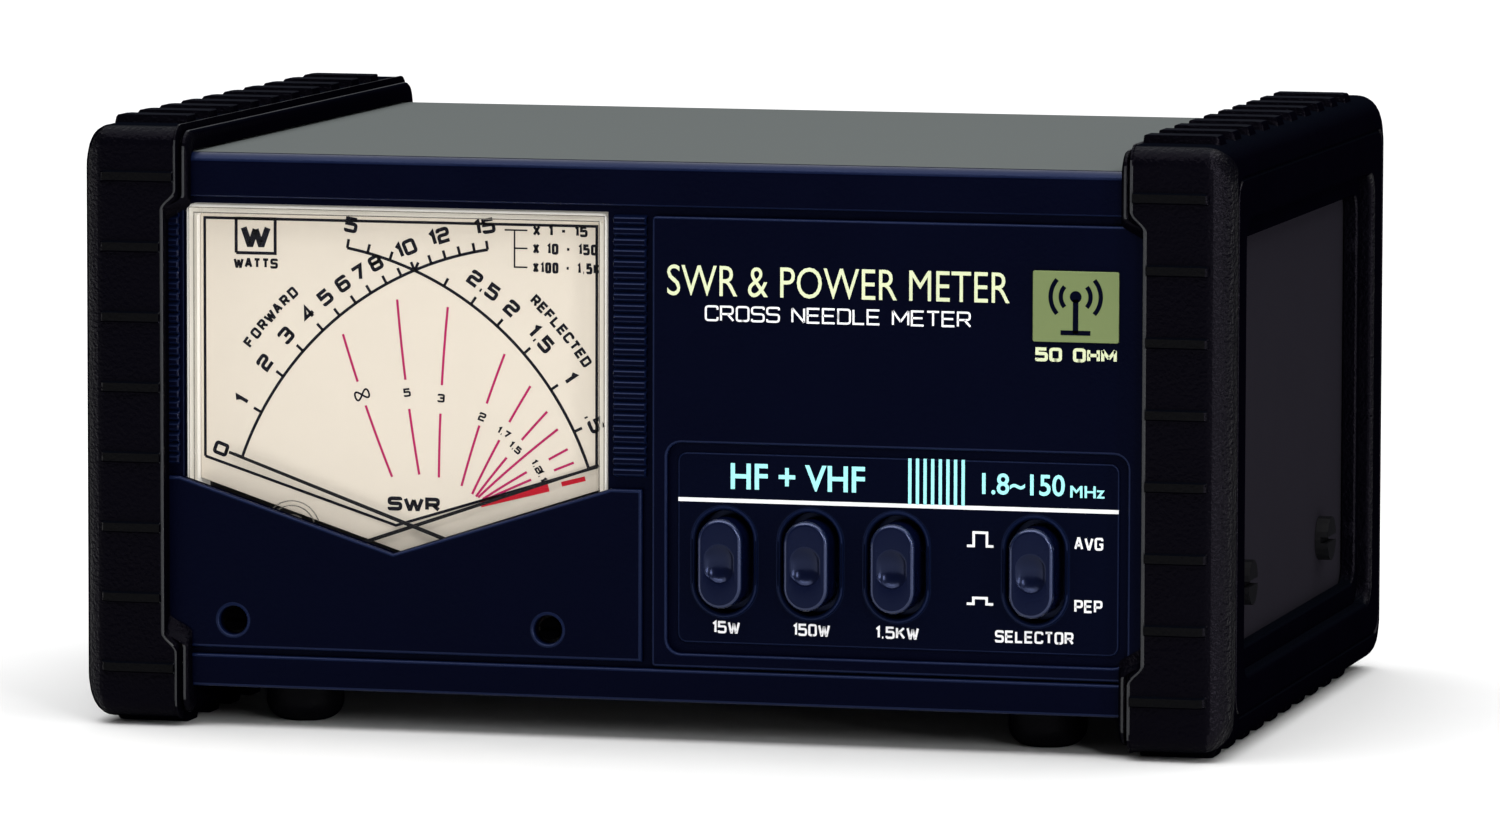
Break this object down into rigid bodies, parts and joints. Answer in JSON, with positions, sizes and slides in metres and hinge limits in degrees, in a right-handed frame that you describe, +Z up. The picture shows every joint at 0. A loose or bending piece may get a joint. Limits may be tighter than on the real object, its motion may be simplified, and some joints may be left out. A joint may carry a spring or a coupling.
{
  "type": "swr meter",
  "caption": "Bench SWR and power meter with a cross-needle dial, push buttons, moulded side guards and coaxial sockets at the back.",
  "frame": {"origin": "middle of the bounding box on the plane that the feet and the guards' lower ribs rest on", "axes": "+X to the right of the front panel, +Y to the back where the sockets are, +Z up"},
  "size_m": [0.15, 0.1186, 0.078],
  "materials": {
    "case_paint": "satin grey paint with a fine texture",
    "zinc_plate": "bright zinc-plated sheet",
    "guard_plastic": "black moulded plastic with a leather grain",
    "bezel_plastic": "dark navy moulded plastic, fine spark texture",
    "button_plastic": "dark navy, slightly glossy",
    "foot_rubber": "matt",
    "screw_steel": "plated",
    "lens_clear": "clear moulded acrylic",
    "dial_paint": "warm white printed sheet",
    "movement_black": "matt moulding",
    "needle_black": "black paint",
    "coil_copper": "enamelled copper winding",
    "magnet_steel": "ground",
    "spring_steel": "drawn wire",
    "switch_black": "matt",
    "board_green": "solder mask",
    "insulator_white": "waxy",
    "lamp_glass": "clear bulb",
    "ferrite": "sintered",
    "nickel_plate": "nickel plated",
    "contact_brass": "bright",
    "badge_gold": "pale gold, satin",
    "wire_red": "vinyl insulation"
  },
  "bodies": {
    "case": {"top_cover": "case_paint", "chassis": "zinc_plate", "right_guard": "guard_plastic", "left_guard": "guard_plastic", "foot_front_left": "foot_rubber", "foot_front_right": "foot_rubber", "foot_rear_left": "foot_rubber", "foot_rear_right": "foot_rubber", "cover_screw_left_1": "screw_steel", "cover_screw_left_2": "screw_steel", "cover_screw_right_1": "screw_steel", "cover_screw_right_2": "screw_steel", "guard_screw_left_1": "screw_steel", "guard_screw_left_2": "screw_steel", "guard_screw_right_1": "screw_steel", "guard_screw_right_2": "screw_steel", "front_bezel": "bezel_plastic", "meter_mask": "bezel_plastic", "switch_plate": "bezel_plastic", "badge_plate": "badge_gold", "meter_lens": "lens_clear", "dial_plate": "dial_paint", "meter_base": "movement_black", "forward_magnet": "magnet_steel", "reflected_magnet": "magnet_steel", "lamp_holder": "insulator_white", "meter_lamp": "lamp_glass", "low_range_spring": "spring_steel", "mid_range_spring": "spring_steel", "high_range_spring": "spring_steel", "selector_spring": "spring_steel", "range_switch": "switch_black", "selector_switch": "switch_black", "switch_board": "board_green", "coupler_box": "zinc_plate", "coupler_lid": "zinc_plate", "line_rod": "contact_brass", "toroid_core": "ferrite", "detector_board": "board_green", "transmitter_socket_shell": "nickel_plate", "transmitter_socket_insulator": "insulator_white", "transmitter_socket_contact": "contact_brass", "antenna_socket_shell": "nickel_plate", "antenna_socket_insulator": "insulator_white", "antenna_socket_contact": "contact_brass", "dc_jack": "nickel_plate", "meter_lead": "wire_red", "signal_lead": "wire_red", "lamp_lead": "wire_red"},
    "forward_movement": {"forward_needle": "needle_black", "forward_coil": "coil_copper"},
    "reflected_movement": {"reflected_needle": "needle_black", "reflected_coil": "coil_copper"},
    "forward_adjuster": {"forward_zero_screw": "needle_black"},
    "reflected_adjuster": {"reflected_zero_screw": "needle_black"},
    "low_range": {"low_range_button": "button_plastic"},
    "mid_range": {"mid_range_button": "button_plastic"},
    "high_range": {"high_range_button": "button_plastic"},
    "selector": {"selector_button": "button_plastic"}
  },
  "joints": [
    {"name": "forward_swing", "type": "hinge", "parent": "case", "child": "forward_movement", "pos_m": [-0.0155, -0.0537, 0.0203], "axis": [0, 1, 0], "range_deg": [0, 64], "stiffness_Nm_per_rad": 0.00002},
    {"name": "reflected_swing", "type": "hinge", "parent": "case", "child": "reflected_movement", "pos_m": [-0.04845, -0.0532, 0.0206], "axis": [0, -1, 0], "range_deg": [0, 64], "stiffness_Nm_per_rad": 0.00002},
    {"name": "forward_zero_turn", "type": "hinge", "parent": "case", "child": "forward_adjuster", "pos_m": [-0.0135, -0.055, 0.0139], "axis": [0, -1, 0], "continuous": true},
    {"name": "reflected_zero_turn", "type": "hinge", "parent": "case", "child": "reflected_adjuster", "pos_m": [-0.0552, -0.055, 0.0138], "axis": [0, -1, 0], "continuous": true},
    {"name": "low_range_press", "type": "slide", "parent": "case", "child": "low_range", "axis": [0, 1, 0], "range_m": [0, 0.0025], "stiffness_N_per_m": 600, "springref_m": -0.0005, "deforming": ["low_range_spring"]},
    {"name": "mid_range_press", "type": "slide", "parent": "case", "child": "mid_range", "axis": [0, 1, 0], "range_m": [0, 0.0025], "stiffness_N_per_m": 600, "springref_m": -0.0005, "deforming": ["mid_range_spring"]},
    {"name": "high_range_press", "type": "slide", "parent": "case", "child": "high_range", "axis": [0, 1, 0], "range_m": [0, 0.0025], "stiffness_N_per_m": 600, "springref_m": -0.0005, "deforming": ["high_range_spring"]},
    {"name": "selector_press", "type": "slide", "parent": "case", "child": "selector", "axis": [0, 1, 0], "range_m": [0, 0.0025], "stiffness_N_per_m": 600, "springref_m": -0.0005, "deforming": ["selector_spring"]}
  ]
}
